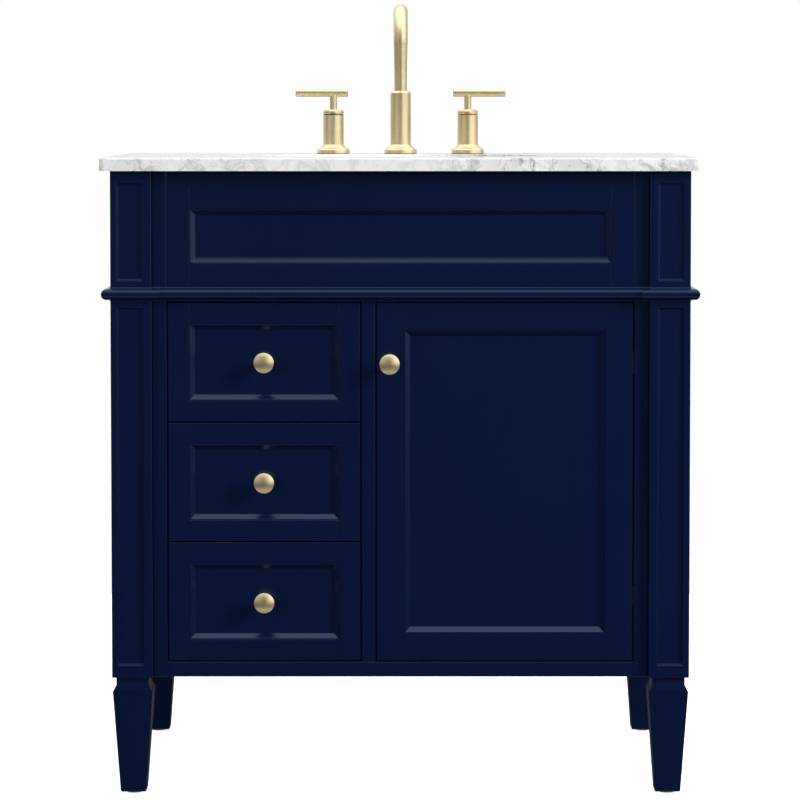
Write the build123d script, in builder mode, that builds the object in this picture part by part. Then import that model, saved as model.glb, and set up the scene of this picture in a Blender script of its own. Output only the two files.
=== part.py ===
"""Bathroom vanity cabinet with a marble top, an undermount basin and a three-hole faucet.

Millimetres. X runs left to right, -Y is the front, +Y is the wall and +Z is up.
The origin is on the floor, under the middle of the marble top.
"""

import os
from math import atan, degrees, sqrt

from build123d import *

os.makedirs("parts", exist_ok=True)

# ---------------------------------------------------------------- driving dimensions

# Marble top
top_width = 832.0
top_depth = 546.0
top_height = 889.0  # floor to the polished face
top_thickness = 18.0
top_corner_radius = 7.0
top_edge_ease = 2.5
side_overhang = 14.0
front_overhang = 14.5

# Basin and its cut-out
basin_width = 400.0  # opening in the marble, side to side
basin_length = 290.0  # opening in the marble, front to back
basin_front_margin = 111.0  # front edge of the marble to the opening
basin_depth = 143.0
basin_wall = 9.0
basin_reveal = 3.0  # the bowl is this much larger than the opening, all round
basin_flange_width = 22.0
basin_flange_thickness = 12.0
basin_boss_radius = 34.0
basin_boss_height = 6.0
clip_reach = 6.0  # under the flange of the bowl
clip_foot = 14.0  # outside the flange
clip_gap = 5.0
clip_width = 16.0
clip_gauge = 3.0

# Drain
drain_seat_depth = 1.0
drain_flange_radius = 31.0
drain_flange_thickness = 3.0
drain_radius = 22.0
drain_bore = 18.5
drain_thread_length = 52.0
tail_radius = 15.875
tail_bore = 14.3
tail_length = 96.0
stopper_radius = 27.0
stopper_thickness = 6.0
stopper_gap = 0.5
stopper_stem_radius = 4.0
stopper_stem_length = 36.0
stopper_guide_radius = 8.0
stopper_guide_height = 12.0
spoke_width = 3.0

# Carcass
leg_height = 165.0  # floor to the underside of the carcass
column_size = 57.0  # square section of the four corner posts
face_setback = 9.5  # the face frame lies this far behind the column faces
frame_thickness = 19.0
side_panel_thickness = 19.0
outer_stile_width = 20.0
centre_stile_width = 19.0
top_rail_height = 21.0
waist_rail_height = 20.5
bottom_rail_height = 21.0
fixed_front_height = 139.5
drawer_opening_width = 271.0
board_thickness = 16.0
back_thickness = 9.0
hanging_rail_thickness = 19.0
hanging_rail_height = 80.0
wall_screw_radius = 3.0
wall_screw_spacing = 406.4
corner_block_leg = 40.0
corner_block_thickness = 19.0
hinge_cleat_depth = 62.0
service_opening = (260.0, 300.0)
service_x = 110.0
service_drop = 153.0  # hanging rail to the upper edge of the opening
edge_ease = 0.8

# Recesses in the columns, side panels and fixed front
column_recess_width = 36.0
column_recess_outer_margin = 9.0
column_recess_depth = 3.5
column_recess_end_margin = 17.0
column_recess_bevel = 2.0
fixed_front_rail = 32.0
side_frame_width = 38.0
quirk_width = 1.4
quirk_depth = 1.2
bevel_width = 7.0
recess_depth = 7.0

# Waist moulding section
moulding_projection = 12.0
moulding_cove = 2.5
moulding_round = 7.5

# Legs
leg_neck = 46.0
leg_neck_height = 11.5
leg_shoulder = 55.3
leg_shoulder_height = 8.5
leg_foot = 35.7
leg_corner_radius = 1.2
glide_radius = 11.0
glide_height = 2.5

# Drawers and door
drawer_count = 3
reveal = 2.2  # gap round each drawer front and round the door
drawer_frame_width = 29.0
door_frame_width = 38.0
panel_thickness = 6.0
panel_rebate = 6.0
box_side = 12.0
box_bottom = 6.0
box_lift = 20.0  # underside of the box above the lower edge of its front
box_drop = 27.0  # rim of the box below the upper edge of its front
box_back_gap = 54.0  # back of the box to the back panel

# Telescopic slides
slide_space = 12.7
slide_height = 45.0
slide_gauge = 1.5
slide_step = 4.0  # each member is this much lower than the one round it, per side
slide_outer_lip = 9.0
slide_middle_offset = 4.0
slide_middle_lip = 6.0
slide_inner_lip = 5.0
slide_front_gap = 2.0

# Knobs
knob_radius = 14.0
knob_projection = 27.0
knob_stem_radius = 5.5
knob_stem_length = 12.0
knob_rim = 2.5
knob_dome = 3.2
knob_drop = 84.0  # top edge of the door to its knob
knob_inset = 17.6  # closing edge of the door to its knob

# Concealed hinges
hinge_cup_radius = 17.5
hinge_cup_clearance = 0.1
hinge_cup_depth = 11.5
hinge_cup_inset = 21.5  # hinge edge of the door to the middle of the cup
hinge_flange = (24.0, 62.0, 1.5)
hinge_end_margin = 85.0
hinge_arm_width = 12.0
hinge_arm_gap = 2.5
hinge_arm_thickness = 10.0
hinge_plate = (3.0, 42.0, 50.0)

# Faucet
faucet_back_margin = 82.0  # back edge of the marble to the faucet holes
faucet_spread = 203.2  # handle to handle
faucet_hole_radius = 17.5
shank_radius = 10.8
shank_clearance_below_nut = 2.0
supply_thread_radius = 10.3
supply_thread_length = 32.0
shank_clearance = 0.2
locknut_radius = 27.0
locknut_thickness = 9.0
drain_locknut_radius = 31.0
gasket_thickness = 0.8
gasket_radius = 24.2
base_radius = 24.7
base_height = 6.4
base_edge = 1.6
flare_top = 13.0
valve_radius = 15.4
valve_height = 57.6
index_ring_radius = 15.1
index_ring_height = 2.0
handle_gap = 0.3
hub_height = 6.0
hub_chamfer = 2.6
spindle_radius = 5.0
spindle_height = 3.6
running_clearance = 0.05
lever_stem_radius = 5.5
lever_bar_radius = 6.3
lever_bar_height = 92.0  # marble to the middle of the bar
lever_long_end = 57.0
lever_short_end = 22.0
lever_bar_ease = 1.0
spout_body_height = 94.0
spout_body_chamfer = 3.0
spout_tube_radius = 9.6
spout_outlet_radius = 10.6
spout_taper_length = 45.0
spout_socket_depth = 30.0
spout_arc_radius = 46.0
spout_top = 224.0  # marble to the top of the arch
spout_outlet_height = 165.0  # marble to the outlet
spout_bore_radius = 8.8
spout_bore_depth = 7.0

# ---------------------------------------------------------------- derived places

wall_y = top_depth / 2
column_face_y = -top_depth / 2 + front_overhang
face_y = column_face_y + face_setback
frame_back_y = face_y + frame_thickness
carcass_half = top_width / 2 - side_overhang
carcass_top = top_height - top_thickness
column_inner_x = carcass_half - column_size
column_back_y = column_face_y + column_size
rear_post_front_y = wall_y - column_size
opening_half = column_inner_x - outer_stile_width
bottom_rail_top = leg_height + bottom_rail_height
fixed_front_top = carcass_top - top_rail_height
waist_top = fixed_front_top - fixed_front_height
waist_height = waist_top - waist_rail_height
centre_stile_left = -opening_half + drawer_opening_width
centre_stile_right = centre_stile_left + centre_stile_width
partition_right = centre_stile_left + board_thickness
side_inner_x = carcass_half - side_panel_thickness
hanging_rail_bottom = carcass_top - hanging_rail_height
back_y = wall_y - back_thickness
moulding_height = waist_rail_height

basin_y = -top_depth / 2 + basin_front_margin + basin_length / 2
bowl_floor = carcass_top - basin_depth
drain_seat = bowl_floor - drain_seat_depth
boss_bottom = bowl_floor - basin_wall - basin_boss_height
faucet_y = wall_y - faucet_back_margin
valve_x = faucet_spread / 2
base_bottom = top_height + gasket_thickness
shank_bottom = carcass_top - locknut_thickness - shank_clearance_below_nut

drawer_opening_height = waist_height - bottom_rail_top
drawer_front_height = (drawer_opening_height - (drawer_count + 1) * reveal) / drawer_count
drawer_front_width = drawer_opening_width - 2 * reveal
drawer_x = -opening_half + drawer_opening_width / 2
drawer_pitch = drawer_front_height + reveal
box_width = drawer_opening_width - 2 * slide_space
box_height = drawer_front_height - box_lift - box_drop
box_length = back_y - box_back_gap - frame_back_y
door_left = centre_stile_right + reveal
door_right = opening_half - reveal
door_bottom = bottom_rail_top + reveal
door_top = waist_height - reveal
door_width = door_right - door_left
door_height = door_top - door_bottom
bevel_angle = degrees(atan(bevel_width / (recess_depth - quirk_depth)))


# ---------------------------------------------------------------- helpers


def finish(piece, label):
    """Name a finished piece and write it out."""
    piece.part.label = label
    export_step(piece.part, f"parts/{label}.step")


def front_plane(x, y, z):
    """Plane facing the front: local x runs right, local y runs up."""
    return Plane(origin=(x, y, z), x_dir=(1, 0, 0), z_dir=(0, -1, 0))


def side_plane(x, y, z, outward):
    """Plane on a side of the carcass, facing outward (-1 left, +1 right): local y runs up."""
    return Plane(origin=(x, y, z), x_dir=(0, outward, 0), z_dir=(outward, 0, 0))


def board(x0, x1, y0, y1, z0, z1):
    """Plain rectangular board between two corners."""
    with BuildPart() as piece:
        with BuildSketch(Plane.XY.offset(z0)):
            with Locations(((x0 + x1) / 2, (y0 + y1) / 2)):
                Rectangle(x1 - x0, y1 - y0)
        extrude(amount=z1 - z0)
    return piece


def cut_recess(plane, width, height):
    """Cut a panel recess with a small square quirk and then a bevel down to the panel."""
    with BuildSketch(plane) as quirk:
        Rectangle(width, height)
    extrude(quirk.sketch, amount=-quirk_depth, mode=Mode.SUBTRACT)
    with BuildSketch(plane.offset(-quirk_depth)) as bevel:
        Rectangle(width - 2 * quirk_width, height - 2 * quirk_width)
    extrude(
        bevel.sketch,
        amount=-(recess_depth - quirk_depth),
        taper=bevel_angle,
        mode=Mode.SUBTRACT,
    )


def ease_outline(piece_builder, face_position):
    """Ease the outer edges of the foremost face of a front."""
    front_face = piece_builder.faces().filter_by(Axis.Y).sort_by(Axis.Y)[0]
    chamfer(front_face.outer_wire().edges(), face_position)


# ---------------------------------------------------------------- marble top and basin

with BuildPart() as countertop:
    with BuildSketch(Plane.XY.offset(carcass_top)):
        Rectangle(top_width, top_depth)
    extrude(amount=top_thickness)
    front_corners = countertop.edges().filter_by(Axis.Z).group_by(Axis.Y)[0]
    fillet(front_corners, top_corner_radius)
    top_edges = countertop.faces().sort_by(Axis.Z)[-1].outer_wire().edges()
    fillet(top_edges.sort_by(Axis.Y)[:-1], top_edge_ease)
    with BuildSketch(Plane.XY.offset(carcass_top)):
        with Locations((0, basin_y)):
            Ellipse(basin_width / 2, basin_length / 2)
        with Locations((-valve_x, faucet_y), (0, faucet_y), (valve_x, faucet_y)):
            Circle(faucet_hole_radius)
    extrude(amount=top_thickness, mode=Mode.SUBTRACT)
finish(countertop, "countertop")

bowl_radius = basin_width / 2 + basin_reveal
bowl_ratio = (basin_length / 2 + basin_reveal) / bowl_radius
with BuildPart() as bowl_shell:
    with BuildSketch(Plane.XZ):
        Ellipse(bowl_radius + basin_wall, basin_depth + basin_wall)
        Rectangle(
            bowl_radius + basin_flange_width,
            basin_flange_thickness,
            align=(Align.MIN, Align.MAX),
        )
        Ellipse(bowl_radius, basin_depth, mode=Mode.SUBTRACT)
        Rectangle(
            bowl_radius + basin_flange_width,
            basin_depth + basin_wall,
            align=(Align.MIN, Align.MAX),
            mode=Mode.INTERSECT,
        )
    revolve(axis=Axis.Z)
    scale(by=(1, bowl_ratio, 1))

with BuildPart() as sink_bowl:
    with Locations((0, basin_y, carcass_top)):
        add(bowl_shell.part)
    with BuildSketch(Plane.XY.offset(boss_bottom)):
        with Locations((0, basin_y)):
            Circle(basin_boss_radius)
    extrude(amount=bowl_floor - boss_bottom)
    with BuildSketch(Plane.XY.offset(drain_seat)):
        with Locations((0, basin_y)):
            Circle(drain_flange_radius + basin_reveal)
    extrude(amount=basin_depth / 4, mode=Mode.SUBTRACT)
    with BuildSketch(Plane.XY.offset(boss_bottom)):
        with Locations((0, basin_y)):
            Circle(drain_radius + running_clearance)
    extrude(amount=basin_depth / 4, mode=Mode.SUBTRACT)
finish(sink_bowl, "sink_bowl")

flange_half_width = bowl_radius + basin_flange_width
flange_half_length = flange_half_width * bowl_ratio
clip_places = [
    (-flange_half_width, basin_y, 0),
    (flange_half_width, basin_y, 180),
    (0, basin_y - flange_half_length, 90),
    (0, basin_y + flange_half_length, -90),
]
with BuildPart() as sink_clips:
    for clip_x, clip_y, turn in clip_places:
        clip_plane = Plane((clip_x, clip_y, carcass_top)).rotated((0, 0, turn))
        with BuildSketch(clip_plane.offset(-basin_flange_thickness - clip_gauge)):
            with Locations(((clip_reach - clip_foot) / 2, 0)):
                Rectangle(clip_reach + clip_foot, clip_width)
        extrude(amount=clip_gauge)
        with BuildSketch(clip_plane.offset(-basin_flange_thickness)):
            with Locations((-(clip_foot + clip_gap) / 2, 0)):
                Rectangle(clip_foot - clip_gap, clip_width)
        extrude(amount=basin_flange_thickness)
finish(sink_clips, "sink_clips")

# ---------------------------------------------------------------- drain

thread_bottom = drain_seat - drain_thread_length
tail_bottom = thread_bottom - tail_length
guide_top = thread_bottom + stopper_guide_height * 2
drain_axis = Axis((0, basin_y, 0), (0, 0, 1))
drain_section = Plane(origin=(0, basin_y, 0), x_dir=(1, 0, 0), z_dir=(0, -1, 0))
with BuildPart() as drain_body:
    with BuildSketch(drain_section):
        with BuildLine():
            Polyline(
                (drain_bore, drain_seat + drain_flange_thickness),
                (drain_flange_radius - 2, drain_seat + drain_flange_thickness),
                (drain_flange_radius, drain_seat + 1),
                (drain_flange_radius, drain_seat),
                (drain_radius, drain_seat),
                (drain_radius, thread_bottom),
                (tail_radius, thread_bottom - (drain_radius - tail_radius)),
                (tail_radius, tail_bottom),
                (tail_bore, tail_bottom),
                (tail_bore, thread_bottom),
                (drain_bore, thread_bottom + (drain_bore - tail_bore)),
                close=True,
            )
        make_face()
    revolve(axis=drain_axis)
    with BuildSketch(Plane.XY.offset(guide_top - stopper_guide_height)):
        with Locations((0, basin_y)):
            Circle(stopper_guide_radius)
            Rectangle(2 * drain_bore + 1, spoke_width)
            Rectangle(spoke_width, 2 * drain_bore + 1)
            Circle(stopper_stem_radius + running_clearance, mode=Mode.SUBTRACT)
    extrude(amount=stopper_guide_height)
finish(drain_body, "drain_body")

stopper_bottom = drain_seat + drain_flange_thickness + stopper_gap
with BuildPart() as drain_stopper:
    with BuildSketch(Plane.XY.offset(stopper_bottom)):
        with Locations((0, basin_y)):
            Circle(stopper_radius)
    extrude(amount=stopper_thickness)
    fillet(drain_stopper.edges().sort_by(Axis.Z)[-1], stopper_thickness / 2)
    with BuildSketch(Plane.XY.offset(stopper_bottom)):
        with Locations((0, basin_y)):
            Circle(stopper_stem_radius)
    extrude(amount=-stopper_stem_length)
finish(drain_stopper, "drain_stopper")

# ---------------------------------------------------------------- corner posts

column_centre_x = carcass_half - column_size / 2
upper_recess = (
    waist_top + column_recess_end_margin / 2,
    carcass_top - column_recess_end_margin,
)
lower_recess = (
    leg_height + column_recess_end_margin,
    waist_height - column_recess_end_margin / 2,
)
recess_bevel_angle = degrees(atan(column_recess_bevel / column_recess_depth))
for side, side_name in ((-1, "left"), (1, "right")):
    outer_x = side * carcass_half
    inner_x = side * column_inner_x
    recess_x = side * (
        carcass_half - column_recess_outer_margin - column_recess_width / 2
    )
    with BuildPart() as front_column:
        with BuildSketch(Plane.XY.offset(leg_height)):
            with Locations(((outer_x + inner_x) / 2, column_face_y + column_size / 2)):
                Rectangle(column_size, column_size)
        extrude(amount=carcass_top - leg_height)
        chamfer(front_column.edges().filter_by(Axis.Z).group_by(Axis.Y)[0], edge_ease)
        for recess_low, recess_high in (upper_recess, lower_recess):
            recess_plane = front_plane(
                recess_x, column_face_y, (recess_low + recess_high) / 2
            )
            with BuildSketch(recess_plane):
                Rectangle(column_recess_width, recess_high - recess_low)
            extrude(
                amount=-column_recess_depth,
                taper=recess_bevel_angle,
                mode=Mode.SUBTRACT,
            )
    finish(front_column, f"{side_name}_front_column")

    rear_post = board(
        min(outer_x, inner_x),
        max(outer_x, inner_x),
        rear_post_front_y,
        wall_y,
        leg_height,
        carcass_top,
    )
    finish(rear_post, f"{side_name}_rear_post")

    # Framed side panel between the posts, with an upper and a lower recess
    side_centre_y = (column_back_y + rear_post_front_y) / 2
    side_length = rear_post_front_y - column_back_y
    with BuildPart() as side_panel:
        with BuildSketch(Plane.XY.offset(leg_height)):
            with Locations((side * (carcass_half - side_panel_thickness / 2), side_centre_y)):
                Rectangle(side_panel_thickness, side_length)
        extrude(amount=carcass_top - leg_height)
        for recess_low, recess_high in (
            (waist_top + fixed_front_rail, fixed_front_top - fixed_front_rail / 2),
            (bottom_rail_top + side_frame_width / 2, waist_height - side_frame_width),
        ):
            cut_recess(
                side_plane(outer_x, side_centre_y, (recess_low + recess_high) / 2, side),
                side_length - 2 * side_frame_width,
                recess_high - recess_low,
            )
    finish(side_panel, f"{side_name}_side_panel")

# ---------------------------------------------------------------- face frame

face_frame_rail_places = [
    (fixed_front_top, carcass_top),
    (waist_height, waist_top),
    (leg_height, bottom_rail_top),
]
with BuildPart() as face_frame_rails:
    for rail_bottom, rail_top in face_frame_rail_places:
        with BuildSketch(Plane.XY.offset(rail_bottom)):
            with Locations((0, (face_y + frame_back_y) / 2)):
                Rectangle(2 * opening_half, frame_thickness)
        extrude(amount=rail_top - rail_bottom)
finish(face_frame_rails, "face_frame_rails")

with BuildPart() as face_frame_stiles:
    for stile_left, stile_right, stile_bottom, stile_top in (
        (-column_inner_x, -opening_half, leg_height, carcass_top),
        (centre_stile_left, centre_stile_right, bottom_rail_top, waist_height),
        (opening_half, column_inner_x, leg_height, carcass_top),
    ):
        with BuildSketch(Plane.XY.offset(stile_bottom)):
            with Locations(((stile_left + stile_right) / 2, (face_y + frame_back_y) / 2)):
                Rectangle(stile_right - stile_left, frame_thickness)
        extrude(amount=stile_top - stile_bottom)
finish(face_frame_stiles, "face_frame_stiles")

# Fixed front over the basin: it looks like a drawer but does not move
with BuildPart() as fixed_front:
    with BuildSketch(front_plane(0, face_y, (waist_top + fixed_front_top) / 2)):
        Rectangle(2 * opening_half, fixed_front_height)
    extrude(amount=-frame_thickness)
    ease_outline(fixed_front, edge_ease)
    cut_recess(
        front_plane(0, face_y, (waist_top + fixed_front_top) / 2),
        2 * (opening_half - fixed_front_rail),
        fixed_front_height - 2 * fixed_front_rail,
    )
finish(fixed_front, "fixed_front")

# ---------------------------------------------------------------- waist moulding

# The moulding runs along the sides and the face, and breaks forward round both columns
moulding_route = [
    (-carcass_half, wall_y),
    (-carcass_half, column_face_y),
    (-column_inner_x, column_face_y),
    (-column_inner_x, face_y),
    (column_inner_x, face_y),
    (column_inner_x, column_face_y),
    (carcass_half, column_face_y),
    (carcass_half, wall_y),
]
flat_width = moulding_projection - moulding_round
with BuildPart() as moulding_ring:
    with BuildLine(Plane.XY.offset(waist_height)) as moulding_path:
        Polyline(*moulding_route)
    section_plane = Plane(
        origin=(-carcass_half, wall_y, waist_height), x_dir=(-1, 0, 0), z_dir=(0, 1, 0)
    )
    with BuildSketch(section_plane) as moulding_section:
        with BuildLine():
            cove_low = JernArc((0, 0), (0, 1), moulding_cove, -90)
            Line(cove_low @ 1, (flat_width, moulding_cove))
            JernArc((flat_width, moulding_cove), (1, 0), moulding_round, 90)
            Line(
                (moulding_projection, moulding_cove + moulding_round),
                (moulding_projection, moulding_height - moulding_cove - moulding_round),
            )
            JernArc(
                (moulding_projection, moulding_height - moulding_cove - moulding_round),
                (0, 1),
                moulding_round,
                90,
            )
            Line(
                (flat_width, moulding_height - moulding_cove),
                (moulding_cove, moulding_height - moulding_cove),
            )
            JernArc(
                (moulding_cove, moulding_height - moulding_cove),
                (-1, 0),
                moulding_cove,
                -90,
            )
            Line((0, moulding_height), (0, 0))
        make_face()
    sweep(transition=Transition.RIGHT)

mitre_planes = {
    side: Plane(
        origin=(side * carcass_half, column_face_y, waist_height),
        z_dir=(side, 1, 0),
    )
    for side in (-1, 1)
}
for side, side_name in ((-1, "left"), (1, "right")):
    with BuildPart() as side_moulding:
        add(moulding_ring.part)
        split(bisect_by=Plane.YZ, keep=Keep.BOTTOM if side < 0 else Keep.TOP)
        split(bisect_by=mitre_planes[side], keep=Keep.TOP)
    finish(side_moulding, f"{side_name}_waist_moulding")

with BuildPart() as front_moulding:
    add(moulding_ring.part)
    for side in (-1, 1):
        split(bisect_by=mitre_planes[side], keep=Keep.BOTTOM)
finish(front_moulding, "front_waist_moulding")

# ---------------------------------------------------------------- carcass boards

with BuildPart() as cabinet_floor:
    with BuildSketch(Plane.XY.offset(bottom_rail_top - board_thickness)):
        with Locations((0, (frame_back_y + back_y) / 2)):
            Rectangle(2 * side_inner_x, back_y - frame_back_y)
        for side in (-1, 1):
            with Locations((side * column_centre_x, column_face_y + column_size / 2)):
                Rectangle(column_size, column_size, mode=Mode.SUBTRACT)
            with Locations((side * column_centre_x, wall_y - column_size / 2)):
                Rectangle(column_size, column_size, mode=Mode.SUBTRACT)
    extrude(amount=board_thickness)
finish(cabinet_floor, "cabinet_floor")

partition_panel = board(
    centre_stile_left, partition_right, frame_back_y, back_y, bottom_rail_top, waist_height
)
finish(partition_panel, "partition_panel")

# The left board fills the step behind the stile, so that the slides have a flush face
drawer_side_board = board(
    -column_inner_x, -opening_half, frame_back_y, back_y, bottom_rail_top, waist_height
)
finish(drawer_side_board, "drawer_side_board")

hinge_cleat = board(
    opening_half,
    column_inner_x,
    frame_back_y,
    frame_back_y + hinge_cleat_depth,
    bottom_rail_top,
    waist_height,
)
finish(hinge_cleat, "hinge_cleat")

service_width, service_height = service_opening
service_z = hanging_rail_bottom - service_drop - service_height / 2
with BuildPart() as back_panel:
    with BuildSketch(front_plane(0, back_y, 0)):
        with Locations((0, (leg_height + hanging_rail_bottom) / 2)):
            Rectangle(2 * column_inner_x, hanging_rail_bottom - leg_height)
        with Locations((service_x, service_z)):
            Rectangle(service_width, service_height, mode=Mode.SUBTRACT)
    extrude(amount=-back_thickness)
finish(back_panel, "back_panel")

with BuildPart() as hanging_rail:
    with BuildSketch(front_plane(0, wall_y - hanging_rail_thickness, 0)):
        with Locations((0, carcass_top - hanging_rail_height / 2)):
            Rectangle(2 * column_inner_x, hanging_rail_height)
            with GridLocations(wall_screw_spacing, 0, 2, 1):
                Circle(wall_screw_radius, mode=Mode.SUBTRACT)
    extrude(amount=-hanging_rail_thickness)
finish(hanging_rail, "hanging_rail")

hanging_rail_front_y = wall_y - hanging_rail_thickness
with BuildPart() as top_corner_blocks:
    with BuildSketch(Plane.XY.offset(carcass_top - corner_block_thickness)):
        for side in (-1, 1):
            for block_y, inward in ((frame_back_y, 1), (hanging_rail_front_y, -1)):
                corner_x = side * column_inner_x
                Polygon(
                    (corner_x, block_y),
                    (corner_x - side * corner_block_leg, block_y),
                    (corner_x, block_y + inward * corner_block_leg),
                    align=None,
                )
    extrude(amount=corner_block_thickness)
finish(top_corner_blocks, "top_corner_blocks")

# ---------------------------------------------------------------- legs and glides

leg_places = {
    "front_left": (-column_centre_x, column_face_y + column_size / 2),
    "front_right": (column_centre_x, column_face_y + column_size / 2),
    "rear_left": (-column_centre_x, wall_y - column_size / 2),
    "rear_right": (column_centre_x, wall_y - column_size / 2),
}
neck_bottom = leg_height - leg_neck_height
shoulder_bottom = neck_bottom - leg_shoulder_height
for leg_name, leg_place in leg_places.items():
    with BuildPart() as leg:
        with BuildSketch(Plane.XY.offset(neck_bottom)):
            with Locations(leg_place):
                Rectangle(leg_neck, leg_neck)
        extrude(amount=leg_neck_height)
        for section_low, section_high in (
            ((shoulder_bottom, leg_shoulder), (neck_bottom, leg_neck)),
            ((glide_height, leg_foot), (shoulder_bottom, leg_shoulder)),
        ):
            for height, width in (section_low, section_high):
                with BuildSketch(Plane.XY.offset(height)):
                    with Locations(leg_place):
                        Rectangle(width, width)
            loft()
        foot_edges = leg.edges().group_by(Axis.Z)[0]
        chamfer(foot_edges, leg_corner_radius)
    finish(leg, f"{leg_name}_leg")

with BuildPart() as leg_glides:
    with BuildSketch(Plane.XY):
        with Locations(*leg_places.values()):
            Circle(glide_radius)
    extrude(amount=glide_height)
finish(leg_glides, "leg_glides")

# ---------------------------------------------------------------- knobs


def knob(x, base_y, z):
    """Turned knob with a domed head, standing on a front or a panel."""
    rim_top = knob_projection - knob_dome
    dome_radius = (knob_radius**2 + knob_dome**2) / (2 * knob_dome)
    dome_middle = sqrt(dome_radius**2 - (knob_radius / 2) ** 2)
    with BuildPart() as turned:
        with BuildSketch(Plane(origin=(x, base_y, z), x_dir=(1, 0, 0), z_dir=(0, 0, -1))):
            with BuildLine():
                Polyline(
                    (0, 0),
                    (knob_stem_radius + 1.5, 0),
                    (knob_stem_radius, 2.0),
                    (knob_stem_radius, knob_stem_length),
                    (knob_radius, rim_top - knob_rim),
                    (knob_radius, rim_top),
                )
                ThreePointArc(
                    (knob_radius, rim_top),
                    (knob_radius / 2, knob_projection - dome_radius + dome_middle),
                    (0, knob_projection),
                )
                Line((0, knob_projection), (0, 0))
            make_face()
        revolve(axis=Axis((x, base_y, z), (0, 1, 0)))
    return turned


# ---------------------------------------------------------------- drawers and slides


def slide_channel(wall_x, inward, offset, lip, half_height, z, length, back_y0):
    """C-shaped slide member: its web stands off the wall, and its lips point inward or back."""
    web_x = wall_x + inward * offset
    lip_direction = inward if lip > 0 else -inward
    lip_end = web_x + lip_direction * abs(lip)
    with BuildSketch(Plane.XZ.offset(-back_y0)) as section:
        with BuildLine():
            Polyline(
                (web_x, z - half_height),
                (lip_end, z - half_height),
                (lip_end, z - half_height + slide_gauge),
                (web_x + lip_direction * slide_gauge, z - half_height + slide_gauge),
                (web_x + lip_direction * slide_gauge, z + half_height - slide_gauge),
                (lip_end, z + half_height - slide_gauge),
                (lip_end, z + half_height),
                (web_x, z + half_height),
                close=True,
            )
        make_face()
    extrude(section.sketch, amount=length)


slide_back_y = frame_back_y + slide_front_gap + box_length
slide_walls = ((-opening_half, 1), (centre_stile_left, -1))
drawer_levels = [
    bottom_rail_top + reveal + drawer_front_height / 2 + row * drawer_pitch
    for row in reversed(range(drawer_count))
]
slide_levels = [
    level - drawer_front_height / 2 + box_lift + box_height / 2 for level in drawer_levels
]

with BuildPart() as slide_cabinet_members:
    for slide_z in slide_levels:
        for wall_x, inward in slide_walls:
            slide_channel(
                wall_x,
                inward,
                0,
                slide_outer_lip,
                slide_height / 2,
                slide_z,
                box_length,
                slide_back_y,
            )
finish(slide_cabinet_members, "slide_cabinet_members")

for number, (front_z, slide_z) in enumerate(zip(drawer_levels, slide_levels), start=1):
    with BuildPart() as drawer_front:
        with BuildSketch(front_plane(drawer_x, face_y, front_z)):
            Rectangle(drawer_front_width, drawer_front_height)
        extrude(amount=-frame_thickness)
        ease_outline(drawer_front, edge_ease)
        cut_recess(
            front_plane(drawer_x, face_y, front_z),
            drawer_front_width - 2 * drawer_frame_width,
            drawer_front_height - 2 * drawer_frame_width,
        )
    finish(drawer_front, f"drawer_{number}_front")

    box_floor = front_z - drawer_front_height / 2 + box_lift
    with BuildPart() as drawer_box:
        with BuildSketch(Plane.XY.offset(box_floor)):
            with Locations((drawer_x, frame_back_y + box_length / 2)):
                Rectangle(box_width, box_length)
        extrude(amount=box_height)
        with BuildSketch(Plane.XY.offset(box_floor + box_bottom)):
            with Locations((drawer_x, frame_back_y + box_length / 2)):
                Rectangle(box_width - 2 * box_side, box_length - 2 * box_side)
        extrude(amount=box_height, mode=Mode.SUBTRACT)
    finish(drawer_box, f"drawer_{number}_box")

    with BuildPart() as middle_members:
        for wall_x, inward in slide_walls:
            slide_channel(
                wall_x,
                inward,
                slide_middle_offset,
                slide_middle_lip,
                slide_height / 2 - slide_step,
                slide_z,
                box_length,
                slide_back_y,
            )
    finish(middle_members, f"slide_{number}_middle_members")

    with BuildPart() as drawer_members:
        for wall_x, inward in slide_walls:
            slide_channel(
                wall_x,
                inward,
                slide_space,
                -slide_inner_lip,
                slide_height / 2 - 2 * slide_step,
                slide_z,
                box_length,
                slide_back_y,
            )
    finish(drawer_members, f"slide_{number}_drawer_members")

    # The knob stands on the recessed panel
    drawer_knob = knob(drawer_x, face_y + recess_depth, front_z)
    finish(drawer_knob, f"drawer_{number}_knob")

# ---------------------------------------------------------------- door and hinges

cup_x = door_right - hinge_cup_inset
cup_levels = (door_bottom + hinge_end_margin, door_top - hinge_end_margin)
door_centre = ((door_left + door_right) / 2, (door_bottom + door_top) / 2)
panel_front_y = face_y + recess_depth
with BuildPart() as door_frame:
    with BuildSketch(front_plane(door_centre[0], face_y, door_centre[1])):
        Rectangle(door_width, door_height)
    extrude(amount=-frame_thickness)
    ease_outline(door_frame, edge_ease)
    inner_width = door_width - 2 * door_frame_width
    inner_height = door_height - 2 * door_frame_width
    cut_recess(
        front_plane(door_centre[0], face_y, door_centre[1]), inner_width, inner_height
    )
    # Through opening, and the rebate for the panel behind it
    bevel_run = quirk_width + bevel_width
    with BuildSketch(front_plane(door_centre[0], face_y, door_centre[1])):
        Rectangle(inner_width - 2 * bevel_run, inner_height - 2 * bevel_run)
    extrude(amount=-frame_thickness, mode=Mode.SUBTRACT)
    panel_width = inner_width - 2 * bevel_run + 2 * panel_rebate
    panel_height = inner_height - 2 * bevel_run + 2 * panel_rebate
    with BuildSketch(front_plane(door_centre[0], panel_front_y, door_centre[1])):
        Rectangle(panel_width, panel_height)
    extrude(amount=-frame_thickness, mode=Mode.SUBTRACT)
    with BuildSketch(front_plane(0, frame_back_y, 0)):
        with Locations(*[(cup_x, level) for level in cup_levels]):
            Circle(hinge_cup_radius + hinge_cup_clearance)
    extrude(amount=hinge_cup_depth, mode=Mode.SUBTRACT)
finish(door_frame, "door_frame")

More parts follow.
